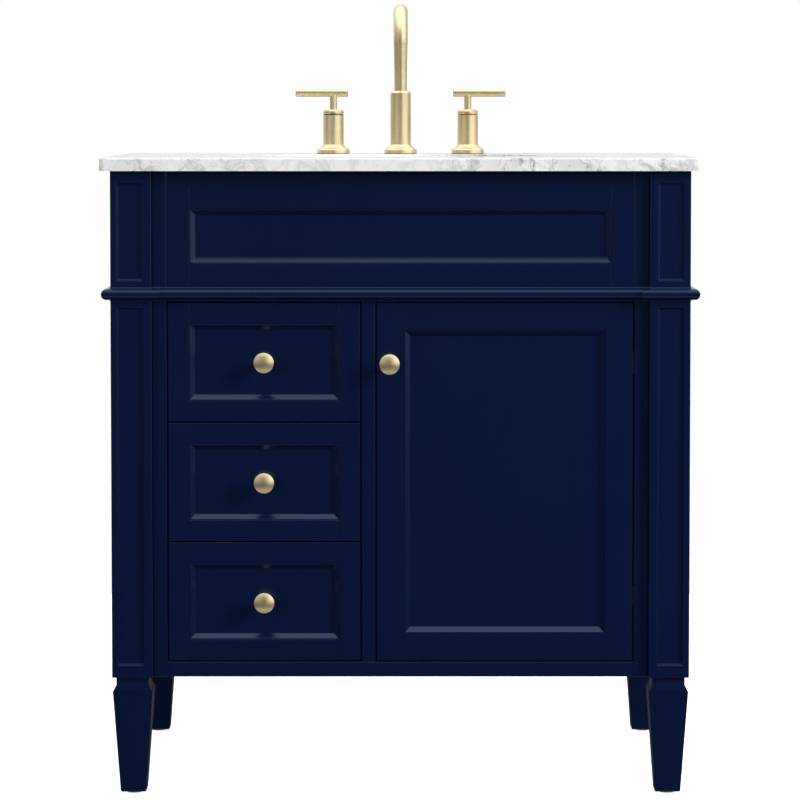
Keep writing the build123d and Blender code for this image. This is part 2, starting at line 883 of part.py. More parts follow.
with BuildPart() as door_panel:
    with BuildSketch(front_plane(door_centre[0], panel_front_y, door_centre[1])):
        Rectangle(panel_width, panel_height)
    extrude(amount=-panel_thickness)
finish(door_panel, "door_panel")

door_knob = knob(door_left + knob_inset, face_y, door_top - knob_drop)
finish(door_knob, "door_knob")

flange_width, flange_height, flange_thickness = hinge_flange
with BuildPart() as door_hinge_cups:
    with BuildSketch(front_plane(0, frame_back_y, 0)):
        with Locations(*[(cup_x, level) for level in cup_levels]):
            Circle(hinge_cup_radius)
            Circle(hinge_cup_radius - slide_gauge, mode=Mode.SUBTRACT)
    extrude(amount=hinge_cup_depth - slide_gauge)
    with BuildSketch(front_plane(0, frame_back_y - hinge_cup_depth + slide_gauge, 0)):
        with Locations(*[(cup_x, level) for level in cup_levels]):
            Circle(hinge_cup_radius)
    extrude(amount=slide_gauge)
    with BuildSketch(front_plane(0, frame_back_y, 0)):
        with Locations(*[(cup_x, level) for level in cup_levels]):
            Rectangle(flange_width, flange_height)
            Circle(hinge_cup_radius - slide_gauge, mode=Mode.SUBTRACT)
            Circle(hinge_cup_radius)
            Circle(hinge_cup_radius - slide_gauge, mode=Mode.SUBTRACT)
    extrude(amount=-flange_thickness)
finish(door_hinge_cups, "door_hinge_cups")

plate_thickness, plate_depth, plate_height = hinge_plate
arm_front_y = frame_back_y + flange_thickness + hinge_arm_gap
with BuildPart() as hinge_arms:
    for level in cup_levels:
        with BuildSketch(Plane.XY.offset(level - plate_height / 2)):
            with Locations((opening_half - plate_thickness / 2, arm_front_y + plate_depth / 2)):
                Rectangle(plate_thickness, plate_depth)
        extrude(amount=plate_height)
        with BuildSketch(Plane.XY.offset(level - hinge_arm_width / 2)):
            with BuildLine():
                Polyline(
                    (opening_half - plate_thickness, arm_front_y + plate_depth),
                    (opening_half - plate_thickness - hinge_arm_thickness, arm_front_y + plate_depth),
                    (
                        opening_half - plate_thickness - hinge_arm_thickness,
                        arm_front_y + hinge_arm_thickness,
                    ),
                    (cup_x, arm_front_y + hinge_arm_thickness / 2),
                    (cup_x, arm_front_y),
                    (opening_half - plate_thickness, arm_front_y),
                    close=True,
                )
            make_face()
        extrude(amount=hinge_arm_width)
finish(hinge_arms, "hinge_arms")

# ---------------------------------------------------------------- faucet


def faucet_section(x):
    """Plane for turned faucet pieces: local x is the radius, local y is the height."""
    return Plane(origin=(x, faucet_y, base_bottom), x_dir=(1, 0, 0), z_dir=(0, -1, 0))


def base_outline(top_radius):
    """Points of the base flange and its flare, from the marble up to the body."""
    return [
        (0, 0),
        (base_radius, 0),
        (base_radius, base_height - base_edge),
        (base_radius - base_edge, base_height),
        (top_radius + 2.6, flare_top - 3.4),
        (top_radius, flare_top),
    ]


def add_shank(x):
    """Shank through the marble and its locknut, with a supply thread below."""
    with BuildSketch(Plane.XY.offset(shank_bottom)) as shank:
        with Locations((x, faucet_y)):
            Circle(shank_radius)
    extrude(shank.sketch, amount=base_bottom - shank_bottom)
    with BuildSketch(Plane.XY.offset(shank_bottom)) as thread:
        with Locations((x, faucet_y)):
            Circle(supply_thread_radius)
    extrude(thread.sketch, amount=-supply_thread_length)


for side, valve_name in ((-1, "cold"), (1, "hot")):
    x = side * valve_x
    valve_axis = Axis((x, faucet_y, 0), (0, 0, 1))
    with BuildPart() as valve_body:
        with BuildSketch(faucet_section(x)):
            with BuildLine():
                Polyline(
                    *base_outline(valve_radius),
                    (valve_radius, valve_height),
                    (spindle_radius, valve_height),
                    (spindle_radius, valve_height + index_ring_height + spindle_height),
                    (0, valve_height + index_ring_height + spindle_height),
                    close=True,
                )
            make_face()
        revolve(axis=valve_axis)
        add_shank(x)
    finish(valve_body, f"{valve_name}_valve_body")

    with BuildPart() as index_ring:
        with BuildSketch(Plane.XY.offset(base_bottom + valve_height)):
            with Locations((x, faucet_y)):
                Circle(index_ring_radius)
                Circle(spindle_radius + running_clearance, mode=Mode.SUBTRACT)
        extrude(amount=index_ring_height)
    finish(index_ring, f"{valve_name}_index_ring")

    hub_bottom = base_bottom + valve_height + index_ring_height + handle_gap
    bar_z = top_height + lever_bar_height
    with BuildPart() as lever:
        with BuildSketch(Plane.XY.offset(hub_bottom)):
            with Locations((x, faucet_y)):
                Circle(valve_radius)
        extrude(amount=hub_height)
        chamfer(lever.edges().sort_by(Axis.Z)[-1], hub_chamfer)
        with BuildSketch(Plane.XY.offset(hub_bottom)):
            with Locations((x, faucet_y)):
                Circle(lever_stem_radius)
        extrude(amount=bar_z - hub_bottom)
        bar_start = x + side * lever_long_end
        bar_end = x - side * lever_short_end
        with BuildSketch(Plane.YZ.offset(min(bar_start, bar_end))):
            with Locations((faucet_y, bar_z)):
                Circle(lever_bar_radius)
        extrude(amount=lever_long_end + lever_short_end)
        bar_rims = lever.edges().filter_by(GeomType.CIRCLE).sort_by(Axis.X)
        chamfer([bar_rims[0], bar_rims[-1]], lever_bar_ease)
        with BuildSketch(Plane.XY.offset(hub_bottom)):
            with Locations((x, faucet_y)):
                Circle(spindle_radius + running_clearance)
        extrude(amount=spindle_height, mode=Mode.SUBTRACT)
    finish(lever, f"{valve_name}_lever")

spout_body_top = base_bottom + spout_body_height
socket_bottom = spout_body_top - spout_socket_depth
with BuildPart() as spout_body:
    with BuildSketch(faucet_section(0)):
        with BuildLine():
            Polyline(
                *base_outline(valve_radius),
                (valve_radius, spout_body_height - spout_body_chamfer),
                (valve_radius - spout_body_chamfer, spout_body_height),
                (spout_tube_radius + running_clearance, spout_body_height),
                (
                    spout_tube_radius + running_clearance,
                    spout_body_height - spout_socket_depth,
                ),
                (0, spout_body_height - spout_socket_depth),
                close=True,
            )
        make_face()
    revolve(axis=Axis((0, faucet_y, 0), (0, 0, 1)))
    add_shank(0)
finish(spout_body, "spout_body")

arc_centre_z = top_height + spout_top - spout_outlet_radius - spout_arc_radius
outlet_z = top_height + spout_outlet_height
outlet_y = faucet_y - 2 * spout_arc_radius
neck_top = arc_centre_z - spout_taper_length
with BuildPart() as spout_tube:
    with BuildSketch(Plane.XY.offset(socket_bottom + handle_gap)):
        with Locations((0, faucet_y)):
            Circle(spout_tube_radius)
    extrude(amount=neck_top - socket_bottom - handle_gap)
    for height, radius in (
        (neck_top, spout_tube_radius),
        (arc_centre_z, spout_outlet_radius),
    ):
        with BuildSketch(Plane.XY.offset(height)):
            with Locations((0, faucet_y)):
                Circle(radius)
    loft()
    with BuildSketch(Plane.XY.offset(arc_centre_z)):
        with Locations((0, faucet_y)):
            Circle(spout_outlet_radius)
    revolve(
        axis=Axis((0, faucet_y - spout_arc_radius, arc_centre_z), (1, 0, 0)),
        revolution_arc=180,
    )
    with BuildSketch(Plane.XY.offset(outlet_z)):
        with Locations((0, outlet_y)):
            Circle(spout_outlet_radius)
    extrude(amount=arc_centre_z - outlet_z)
    with BuildSketch(Plane.XY.offset(outlet_z)):
        with Locations((0, outlet_y)):
            Circle(spout_bore_radius)
    extrude(amount=spout_bore_depth, mode=Mode.SUBTRACT)
finish(spout_tube, "spout_tube")

with BuildPart() as faucet_gaskets:
    with BuildSketch(Plane.XY.offset(top_height)):
        with Locations((-valve_x, faucet_y), (0, faucet_y), (valve_x, faucet_y)):
            Circle(gasket_radius)
            Circle(shank_radius + shank_clearance, mode=Mode.SUBTRACT)
    extrude(amount=gasket_thickness)
finish(faucet_gaskets, "faucet_gaskets")

with BuildPart() as locknuts:
    with BuildSketch(Plane.XY.offset(carcass_top)):
        with Locations((-valve_x, faucet_y), (0, faucet_y), (valve_x, faucet_y)):
            Circle(locknut_radius)
            Circle(shank_radius + shank_clearance, mode=Mode.SUBTRACT)
    extrude(amount=-locknut_thickness)
    with BuildSketch(Plane.XY.offset(boss_bottom)):
        with Locations((0, basin_y)):
            Circle(drain_locknut_radius)
            Circle(drain_radius + running_clearance, mode=Mode.SUBTRACT)
    extrude(amount=-locknut_thickness)
finish(locknuts, "locknuts")
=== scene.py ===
"""The looks of a bathroom vanity cabinet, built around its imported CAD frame.

Everything is in metres, in the CAD's own frame: x to the right, y to the wall, z up. The CAD nodes
whose shape is right stay, with eased edges and procedural finishes. The framed fronts, the drawer
boxes and the small fittings are modelled here as the joined pieces they are made of.
"""

import math

import bmesh
import bpy
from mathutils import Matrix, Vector


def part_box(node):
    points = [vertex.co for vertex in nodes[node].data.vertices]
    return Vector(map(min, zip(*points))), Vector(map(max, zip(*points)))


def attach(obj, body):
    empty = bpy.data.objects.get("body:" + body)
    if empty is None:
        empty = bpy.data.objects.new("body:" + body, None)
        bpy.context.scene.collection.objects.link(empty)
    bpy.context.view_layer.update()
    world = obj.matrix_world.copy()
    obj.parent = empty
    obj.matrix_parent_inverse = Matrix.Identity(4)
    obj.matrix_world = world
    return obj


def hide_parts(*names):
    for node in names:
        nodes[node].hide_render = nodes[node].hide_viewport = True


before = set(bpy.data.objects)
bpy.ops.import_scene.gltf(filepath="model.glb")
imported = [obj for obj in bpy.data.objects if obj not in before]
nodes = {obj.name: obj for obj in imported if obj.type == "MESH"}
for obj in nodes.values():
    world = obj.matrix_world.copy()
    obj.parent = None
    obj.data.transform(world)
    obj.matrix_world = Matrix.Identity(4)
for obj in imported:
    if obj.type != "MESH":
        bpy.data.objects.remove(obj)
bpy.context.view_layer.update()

MM = 0.001

# ---------------------------------------------------------------- camera and light

look_down = 3.162  # degrees

camera_data = bpy.data.cameras.new("camera")
camera_data.sensor_width = 36.0
camera_data.lens = 151.8
camera_data.shift_x = -0.0007
camera_data.shift_y = -0.13
camera_data.clip_end = 60.0
camera = bpy.data.objects.new("camera", camera_data)
camera.location = (0.0, -4.922, 0.9555)
camera.rotation_euler = (math.radians(90.0 - look_down), 0.0, 0.0)
bpy.context.scene.collection.objects.link(camera)
bpy.context.scene.camera = camera
bpy.context.scene.view_settings.view_transform = "Standard"


def softbox(name, place, target, width, height, watts, colour=(1.0, 1.0, 1.0)):
    """A large rectangular studio light that faces target."""
    lamp = bpy.data.lights.new(name, "AREA")
    lamp.shape = "RECTANGLE"
    lamp.size = width
    lamp.size_y = height
    lamp.energy = watts
    lamp.color = colour
    made = bpy.data.objects.new(name, lamp)
    made.location = place
    made.rotation_euler = (Vector(target) - Vector(place)).to_track_quat("-Z", "Y").to_euler()
    made.visible_camera = False
    made.visible_glossy = False
    bpy.context.scene.collection.objects.link(made)


middle = (0.0, -0.1, 0.6)
softbox("key_light", (3.2, -2.0, 2.15), middle, 1.3, 1.6, 146.0, (1.0, 0.985, 0.96))
softbox("fill_light", (-2.6, -2.6, 1.2), middle, 2.4, 2.4, 40.0)
softbox("top_light", (0.2, -0.5, 3.4), middle, 2.4, 2.0, 36.0)
softbox("back_light", (1.6, 3.4, 2.3), middle, 2.0, 1.6, 30.0)

# What shiny surfaces mirror is drawn in the world, so that the lamps themselves leave no glare: dark
# where the photographer stands, a bright window wall to the right, a dimmer wall to the left, a pale
# wall behind the cabinet, a pale ceiling and a dark floor with one light band.
world = bpy.data.worlds.new("studio")
world.use_nodes = True
bpy.context.scene.world = world
sky = world.node_tree
sky.nodes.clear()


def feed(tree, socket, value):
    """Links value to socket if it is another node's output, and sets it there if it is a constant."""
    if isinstance(value, bpy.types.NodeSocket):
        tree.links.new(value, socket)
    else:
        socket.default_value = value


def sky_node(kind, **inputs):
    made = sky.nodes.new(kind)
    for socket, value in inputs.items():
        feed(sky, made.inputs[socket], value)
    return made


def span(value, low, high, interpolation="SMOOTHSTEP"):
    """0 below low, 1 above high."""
    made = sky_node("ShaderNodeMapRange", Value=value)
    made.interpolation_type = interpolation
    made.inputs["From Min"].default_value = low
    made.inputs["From Max"].default_value = high
    return made.outputs[0]


def sky_ramp(value, stops):
    """A slightly warm grey that follows value. stops are (value from -1 to 1, grey)."""
    made = sky_node("ShaderNodeValToRGB", Fac=span(value, -1.0, 1.0, "LINEAR"))
    while len(made.color_ramp.elements) < len(stops):
        made.color_ramp.elements.new(1.0)
    for element, (at, grey) in zip(made.color_ramp.elements, stops):
        element.position = at / 2 + 0.5
        element.color = (grey, grey * 0.985, grey * 0.95, 1.0)
    return made.outputs[0]


def colour_mix(tree, factor, first, second):
    """first where factor is 0, second where it is 1. The Mix node has its colours in sockets 6 and 7."""
    made = tree.nodes.new("ShaderNodeMix")
    made.data_type = "RGBA"
    for socket, value in ((0, factor), (6, first), (7, second)):
        feed(tree, made.inputs[socket], value)
    return made.outputs[2]


def sky_shader_mix(factor, first, second):
    made = sky_node("ShaderNodeMixShader", Fac=factor)
    sky.links.new(first.outputs[0], made.inputs[1])
    sky.links.new(second.outputs[0], made.inputs[2])
    return made


paths = sky_node("ShaderNodeLightPath")
direction = sky_node("ShaderNodeTexCoord")
parts = sky_node("ShaderNodeSeparateXYZ", Vector=direction.outputs["Generated"])
across, away, upward = parts.outputs
front_wall = sky_ramp(across, (
    (-1.0, 0.09), (-0.74, 0.30), (-0.34, 0.20), (-0.14, 0.06), (0.0, 0.03), (0.16, 0.06), (0.36, 0.55),
    (0.58, 0.78), (0.80, 0.70), (1.0, 0.66),
))
back_wall = sky_ramp(across, ((-1.0, 0.34), (-0.5, 0.48), (0.0, 0.34), (0.4, 0.26), (1.0, 0.32)))
walls = colour_mix(sky, span(away, -0.15, 0.25), front_wall, back_wall)
above = colour_mix(sky, span(upward, 0.45, 0.85), walls, (0.85, 0.85, 0.85, 1.0))
below = sky_ramp(upward, (
    (-1.0, 0.02), (-0.86, 0.03), (-0.74, 0.34), (-0.60, 0.34), (-0.46, 0.025), (0.0, 0.025),
))
surroundings = colour_mix(sky, span(upward, -0.09, -0.01), below, above)
mirrored = sky_node("ShaderNodeBackground", Color=surroundings, Strength=2.4)
room = sky_node("ShaderNodeBackground", Color=(0.95, 0.97, 1.0, 1.0), Strength=0.25)
white = sky_node("ShaderNodeBackground", Color=(1.0, 1.0, 1.0, 1.0), Strength=1.0)
by_gloss = sky_shader_mix(paths.outputs["Is Glossy Ray"], room, mirrored)
by_camera = sky_shader_mix(paths.outputs["Is Camera Ray"], by_gloss, white)
sky_node("ShaderNodeOutputWorld", Surface=by_camera.outputs[0])

# ---------------------------------------------------------------- finishes


class Finish:
    """A procedural material. Its textures use the object's own coordinates, in metres."""

    def __init__(self, name, **sockets):
        self.material = bpy.data.materials.new(name)
        self.material.use_nodes = True
        self.tree = self.material.node_tree
        self.shader = self.tree.nodes["Principled BSDF"]
        for socket, value in sockets.items():
            self.shader.inputs[socket.replace("_", " ")].default_value = value
        coordinates = self.tree.nodes.new("ShaderNodeTexCoord")
        self.place = coordinates.outputs["Object"]
        self.normal = coordinates.outputs["Normal"]

    def feed(self, socket, value):
        feed(self.tree, socket, value)

    def stretched(self, scale):
        mapping = self.tree.nodes.new("ShaderNodeMapping")
        mapping.inputs["Scale"].default_value = scale
        self.feed(mapping.inputs["Vector"], self.place)
        return mapping.outputs[0]

    def noise(self, vector, scale, detail=2.0, roughness=0.5, distortion=0.0):
        made = self.tree.nodes.new("ShaderNodeTexNoise")
        self.feed(made.inputs["Vector"], vector)
        made.inputs["Scale"].default_value = scale
        made.inputs["Detail"].default_value = detail
        made.inputs["Roughness"].default_value = roughness
        made.inputs["Distortion"].default_value = distortion
        return made

    def math(self, operation, *values):
        made = self.tree.nodes.new("ShaderNodeMath")
        made.operation = operation
        for socket, value in zip(made.inputs, values):
            self.feed(socket, value)
        return made.outputs[0]

    def ramp(self, factor, *stops):
        """stops are (position, grey value or colour)."""
        made = self.tree.nodes.new("ShaderNodeValToRGB")
        self.feed(made.inputs[0], factor)
        elements = made.color_ramp.elements
        while len(elements) < len(stops):
            elements.new(1.0)
        for element, (position, value) in zip(elements, stops):
            element.position = position
            element.color = (*value, 1.0) if isinstance(value, tuple) else (value, value, value, 1.0)
        return made.outputs[0]

    def mix(self, factor, first, second):
        first, second = ((*value, 1.0) if isinstance(value, tuple) else value for value in (first, second))
        return colour_mix(self.tree, factor, first, second)

    def split(self, vector):
        made = self.tree.nodes.new("ShaderNodeSeparateXYZ")
        self.feed(made.inputs[0], vector)
        return made.outputs

    def between(self, factor, low, high):
        """low where factor is 0, high where it is 1."""
        made = self.tree.nodes.new("ShaderNodeMapRange")
        self.feed(made.inputs["Value"], factor)
        made.inputs["To Min"].default_value = low
        made.inputs["To Max"].default_value = high
        return made.outputs[0]

    def bump(self, height, strength, distance, under=None):
        made = self.tree.nodes.new("ShaderNodeBump")
        self.feed(made.inputs["Height"], height)
        made.inputs["Strength"].default_value = strength
        made.inputs["Distance"].default_value = distance
        if under is not None:
            self.feed(made.inputs["Normal"], under)
        return made.outputs[0]

    def set(self, **values):
        for socket, value in values.items():
            self.feed(self.shader.inputs[socket.replace("_", " ")], value)
        return self.material


def lacquer():
    """Satin navy paint on wood: slow tone changes, a faint upright grain and a fine orange peel."""
    paint = Finish("navy_lacquer", Specular_IOR_Level=0.38, Specular_Tint=(0.55, 0.75, 1.0, 1.0))
    cloud = paint.noise(paint.place, 5.0, 3.0).outputs[0]
    grain = paint.noise(paint.stretched((170.0, 170.0, 5.0)), 1.0, 3.0, 0.6).outputs[0]
    tone = paint.mix(cloud, (0.0012, 0.0058, 0.0350), (0.0024, 0.0078, 0.0415))
    tone = paint.mix(paint.between(grain, 0.0, 0.22), tone, (0.0060, 0.0150, 0.0600))
    peel = paint.noise(paint.place, 620.0, 2.0).outputs[0]
    under = paint.bump(grain, 0.05, 0.0003)
    return paint.set(
        Base_Color=tone,
        Roughness=paint.between(paint.noise(paint.place, 38.0, 3.0).outputs[0], 0.14, 0.21),
        Normal=paint.bump(peel, 0.025, 0.0002, under),
    )


def marble():
    """Polished white marble with grey clouds and thin broken veins, thickest right of the middle."""
    stone = Finish("marble", Specular_IOR_Level=0.5)
    place = stone.place
    drift = stone.noise(place, 7.0, 4.0, 0.6)
    # The coordinates sway with a slow noise, so that clouds and veins run crooked
    bend = stone.tree.nodes.new("ShaderNodeVectorMath")
    bend.operation = "MULTIPLY_ADD"
    for socket, value in zip(bend.inputs, (drift.outputs["Color"], (0.11, 0.11, 0.11), place)):
        stone.feed(socket, value)
    bent = bend.outputs[0]
    # 0 at the left end of the top, 1 at the right
    along_top = stone.math("ADD", stone.math("MULTIPLY", stone.split(place)[0], 1.2), 0.5)
    belt = stone.ramp(
        along_top, (0.0, 0.55), (0.22, 0.30), (0.55, 0.12), (0.70, 0.95), (0.82, 0.80), (0.86, 0.12),
        (0.93, 0.75), (1.0, 0.25),
    )
    cloud = stone.ramp(stone.noise(bent, 16.0, 5.0, 0.6).outputs[0], (0.44, 0.0), (0.66, 1.0))

    def crease(*noise):
        """0 along the lines where the noise passes through its middle value, which is where a vein runs."""
        return stone.math("ABSOLUTE", stone.math("SUBTRACT", stone.noise(bent, *noise).outputs[0], 0.5))

    vein = stone.ramp(crease(13.0, 6.0, 0.62), (0.0, 1.0), (0.014, 0.55), (0.045, 0.0))
    hair = stone.ramp(crease(34.0, 5.0, 0.6), (0.0, 0.7), (0.016, 0.0))
    clouds = stone.math("MULTIPLY", cloud, stone.math("MULTIPLY", belt, 0.75))
    veins = stone.math("MULTIPLY", stone.math("MAXIMUM", vein, hair), stone.math("ADD", belt, 0.10))
    colour = stone.mix(clouds, (0.93, 0.94, 0.965), (0.56, 0.58, 0.62))
    colour = stone.mix(veins, colour, (0.30, 0.315, 0.335))
    grit = stone.noise(place, 900.0, 2.0).outputs[0]
    colour = stone.mix(stone.between(grit, 0.0, 0.07), colour, (0.62, 0.63, 0.66))
    return stone.set(
        Base_Color=colour,
        Roughness=stone.between(stone.noise(place, 60.0, 3.0).outputs[0], 0.10, 0.20),
        Normal=stone.bump(stone.noise(place, 45.0, 2.0).outputs[0], 0.02, 0.0004),
    )


def china():
    """White vitreous china: a glassy glaze that is never quite flat."""
    glaze = Finish("white_china", Coat_Weight=0.6, Coat_Roughness=0.03)
    pool = glaze.noise(glaze.place, 9.0, 2.0).outputs[0]
    return glaze.set(
        Base_Color=glaze.mix(pool, (0.83, 0.835, 0.83), (0.88, 0.88, 0.87)),
        Roughness=glaze.between(glaze.noise(glaze.place, 30.0, 2.0).outputs[0], 0.07, 0.16),
        Normal=glaze.bump(pool, 0.08, 0.001),
    )


def brass(name, scale):
    """Brushed champagne brass. scale is large along the axis that the brushing goes round."""
    metal = Finish(name, Metallic=1.0)
    lines = metal.noise(metal.stretched(scale), 1.0, 4.0, 0.7).outputs[0]
    tone = metal.noise(metal.place, 26.0, 3.0).outputs[0]
    colour = metal.mix(tone, (0.76, 0.635, 0.375), (0.81, 0.69, 0.43))
    return metal.set(
        Base_Color=metal.mix(metal.between(lines, 0.0, 0.30), colour, (0.68, 0.56, 0.33)),
        Roughness=metal.between(lines, 0.35, 0.42),
        Normal=metal.bump(lines, 0.004, 0.0001),
    )


ply_pitch = 3.1 * MM  # a pair of plies, one of them darker


def birch(name, thickness, grain):
    """Birch plywood. thickness and grain are the axes, 0 to 2, across the sheet and along its face grain."""
    wood = Finish(name, Specular_IOR_Level=0.4)
    face = [46.0, 46.0, 46.0]
    face[grain] = 2.4
    fine = [420.0, 420.0, 420.0]
    fine[grain] = 14.0
    figure = wood.noise(wood.stretched(tuple(face)), 1.0, 3.0, 0.5, 1.2).outputs[0]
    fibre = wood.noise(wood.stretched(tuple(fine)), 1.0, 4.0, 0.7).outputs[0]
    surface = wood.ramp(
        figure, (0.25, (0.62, 0.44, 0.265)), (0.55, (0.73, 0.56, 0.365)), (0.8, (0.66, 0.48, 0.30)),
    )
    surface = wood.mix(wood.between(fibre, 0.0, 0.35), surface, (0.50, 0.335, 0.19))
    layer = wood.math("FRACT", wood.math("MULTIPLY", wood.split(wood.place)[thickness], 1.0 / ply_pitch))
    plies = wood.ramp(
        layer, (0.0, (0.40, 0.27, 0.16)), (0.08, (0.66, 0.50, 0.32)), (0.48, (0.70, 0.54, 0.35)),
        (0.56, (0.50, 0.34, 0.20)), (0.95, (0.56, 0.39, 0.24)),
    )
    plies = wood.mix(wood.between(fibre, 0.0, 0.3), plies, (0.42, 0.28, 0.16))
    facing = wood.math("ABSOLUTE", wood.split(wood.normal)[thickness])
    broad = wood.math("GREATER_THAN", facing, 0.5)
    return wood.set(
        Base_Color=wood.mix(broad, plies, surface),
        Roughness=wood.between(figure, 0.42, 0.58),
        Normal=wood.bump(fibre, 0.12, 0.0003),
    )


def steel():
    """Zinc-plated steel: a faint spangle under fine scratches."""
    metal = Finish("zinc_steel", Metallic=1.0)
    spangle = metal.tree.nodes.new("ShaderNodeTexVoronoi")
    metal.feed(spangle.inputs["Vector"], metal.place)
    spangle.inputs["Scale"].default_value = 240.0
    tone = metal.between(spangle.outputs["Color"], 0.0, 1.0)
    scratch = metal.noise(metal.stretched((30.0, 30.0, 1400.0)), 1.0, 3.0).outputs[0]
    return metal.set(
        Base_Color=metal.mix(tone, (0.50, 0.51, 0.53), (0.66, 0.67, 0.68)),
        Roughness=metal.between(scratch, 0.28, 0.46),
        Normal=metal.bump(scratch, 0.06, 0.0001),
    )


def moulded(name, light, dark, roughness, grit_scale, coat=0.0):
    """Moulded plastic, rubber or enamel, with a fine skin texture."""
    plastic = Finish(name, Coat_Weight=coat, Coat_Roughness=0.05)
    grit = plastic.noise(plastic.place, grit_scale, 3.0).outputs[0]
    cloud = plastic.noise(plastic.place, 45.0, 2.0).outputs[0]
    return plastic.set(
        Base_Color=plastic.mix(cloud, light, dark),
        Roughness=plastic.between(grit, roughness * 0.8, roughness * 1.2),
        Normal=plastic.bump(grit, 0.08, 0.0002),
    )


turned_upright = brass("champagne_brass", (40.0, 40.0, 3200.0))
turned_sideways = brass("champagne_brass_bar", (3200.0, 40.0, 40.0))
turned_facing = brass("champagne_brass_knob", (40.0, 3200.0, 40.0))
satin_brass = brass("champagne_brass_tube", (500.0, 500.0, 500.0))
finishes = {
    "navy_lacquer": lacquer(),
    "marble": marble(),
    "white_china": china(),
    "champagne_brass": turned_upright,
    "zinc_steel": steel(),
    "dark_rubber": moulded("dark_rubber", (0.018, 0.018, 0.019), (0.010, 0.010, 0.011), 0.65, 700.0),
    "grey_nylon": moulded("grey_nylon", (0.20, 0.20, 0.21), (0.15, 0.15, 0.16), 0.45, 900.0),
    "red_ring": moulded("red_ring", (0.40, 0.032, 0.012), (0.30, 0.022, 0.010), 0.25, 600.0, 0.5),
    "blue_ring": moulded("blue_ring", (0.034, 0.030, 0.046), (0.022, 0.020, 0.034), 0.25, 600.0, 0.5),
    "birch_ply": birch("birch_ply", 2, 0),
}
birch_upright = birch("birch_ply_upright", 0, 2)
birch_back = birch("birch_ply_back", 1, 2)
birch_rail = birch("birch_ply_rail", 1, 0)
birch_side = birch("birch_ply_box_side", 0, 1)
birch_end = birch("birch_ply_box_end", 1, 0)
birch_bottom = birch("birch_ply_box_bottom", 2, 1)
own_finish = {
    "partition_panel": birch_upright,
    "drawer_side_board": birch_upright,
    "hinge_cleat": birch_upright,
    "back_panel": birch_back,
    "hanging_rail": birch_rail,
    "cold_lever": turned_sideways,
    "hot_lever": turned_sideways,
    "spout_tube": satin_brass,
    "door_knob": turned_facing,
    "drawer_1_knob": turned_facing,
    "drawer_2_knob": turned_facing,
    "drawer_3_knob": turned_facing,
}

# ---------------------------------------------------------------- edges of the CAD nodes

smooth_faces = bpy.data.node_groups.new("smooth_faces", "GeometryNodeTree")
smooth_faces.interface.new_socket("Geometry", in_out="INPUT", socket_type="NodeSocketGeometry")
smooth_faces.interface.new_socket("Geometry", in_out="OUTPUT", socket_type="NodeSocketGeometry")
group_in = smooth_faces.nodes.new("NodeGroupInput")
group_out = smooth_faces.nodes.new("NodeGroupOutput")
shade = smooth_faces.nodes.new("GeometryNodeSetShadeSmooth")
smooth_faces.links.new(group_in.outputs[0], shade.inputs[0])
smooth_faces.links.new(shade.outputs[0], group_out.inputs[0])


weld_reach = 0.01 * MM
flat_angle = math.radians(0.5)
sharp_angle = math.radians(35.0)


def ease_edges(piece, width, segments=3, weld=False, flatten=False):
    """Rounds the sharp edges as paint, polish or wear does, without touching the mesh itself.

    A CAD node's mesh needs weld to join its faces. A piece that is built of closed blocks doesn't.
    """
    if weld:
        piece.modifiers.new("weld", "WELD").merge_threshold = weld_reach
    if flatten:
        flat = piece.modifiers.new("flat_faces", "DECIMATE")
        flat.decimate_type = "DISSOLVE"
        flat.angle_limit = flat_angle
    bevel = piece.modifiers.new("eased_edges", "BEVEL")
    bevel.width = width
    bevel.segments = segments
    bevel.limit_method = "ANGLE"
    bevel.angle_limit = sharp_angle
    smooth = piece.modifiers.new("smooth_faces", "NODES")
    smooth.node_group = smooth_faces
    normals = piece.modifiers.new("even_normals", "WEIGHTED_NORMAL")
    normals.keep_sharp = False


# How far the edges of each finish are eased
eased = {
    "navy_lacquer": 1.2 * MM, "marble": 0.8 * MM, "white_china": 0.8 * MM, "champagne_brass": 0.3 * MM,
    "zinc_steel": 0.25 * MM, "birch_ply": 0.5 * MM, "grey_nylon": 0.5 * MM, "dark_rubber": 0.2 * MM,
    "red_ring": 0.2 * MM, "blue_ring": 0.2 * MM,
}
flat_faced = {"navy_lacquer", "birch_ply", "zinc_steel"}
for name, node in nodes.items():
    slot_name = node.material_slots[0].material.name
    finish = own_finish.get(name, finishes[slot_name])
    for slot in node.material_slots:
        slot.material = finish
    ease_edges(node, eased[slot_name], weld=True, flatten=slot_name in flat_faced)

# ---------------------------------------------------------------- joined frames


def new_piece(name, mesh, finish, body):
    made = bpy.data.objects.new(name, mesh)
    bpy.context.scene.collection.objects.link(made)
    made.data.materials.append(finish)
    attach(made, body)
    return made


def add_block(work, place, u0, u1, v0, v1, w0, w1):
    """A closed block between two corners in the u, v, w of place."""
    corners = [work.verts.new(place(u, v, w)) for w in (w0, w1) for v in (v0, v1) for u in (u0, u1)]
    for face in ((0, 1, 3, 2), (4, 6, 7, 5), (0, 4, 5, 1), (2, 3, 7, 6), (0, 2, 6, 4), (1, 5, 7, 3)):
        work.faces.new([corners[i] for i in face])


def add_loft(work, rows):
    """Faces between each loop of points and the next."""
    for row, following in zip(rows, rows[1:]):
        for i in range(len(row)):
            j = (i + 1) % len(row)
            work.faces.new([row[i], row[j], following[j], following[i]])


def add_ring(work, place, u0, u1, v0, v1, section):
    """A mitred frame of four mouldings inside the rectangle. section is (inset, depth) points, closed."""
    rows = []
    for inset, depth in section:
        left, right, bottom, top = u0 + inset, u1 - inset, v0 + inset, v1 - inset
        corners = ((left, bottom), (right, bottom), (right, top), (left, top))
        rows.append([work.verts.new(place(u, v, depth)) for u, v in corners])
    add_loft(work, rows + rows[:1])


round_sides = 64


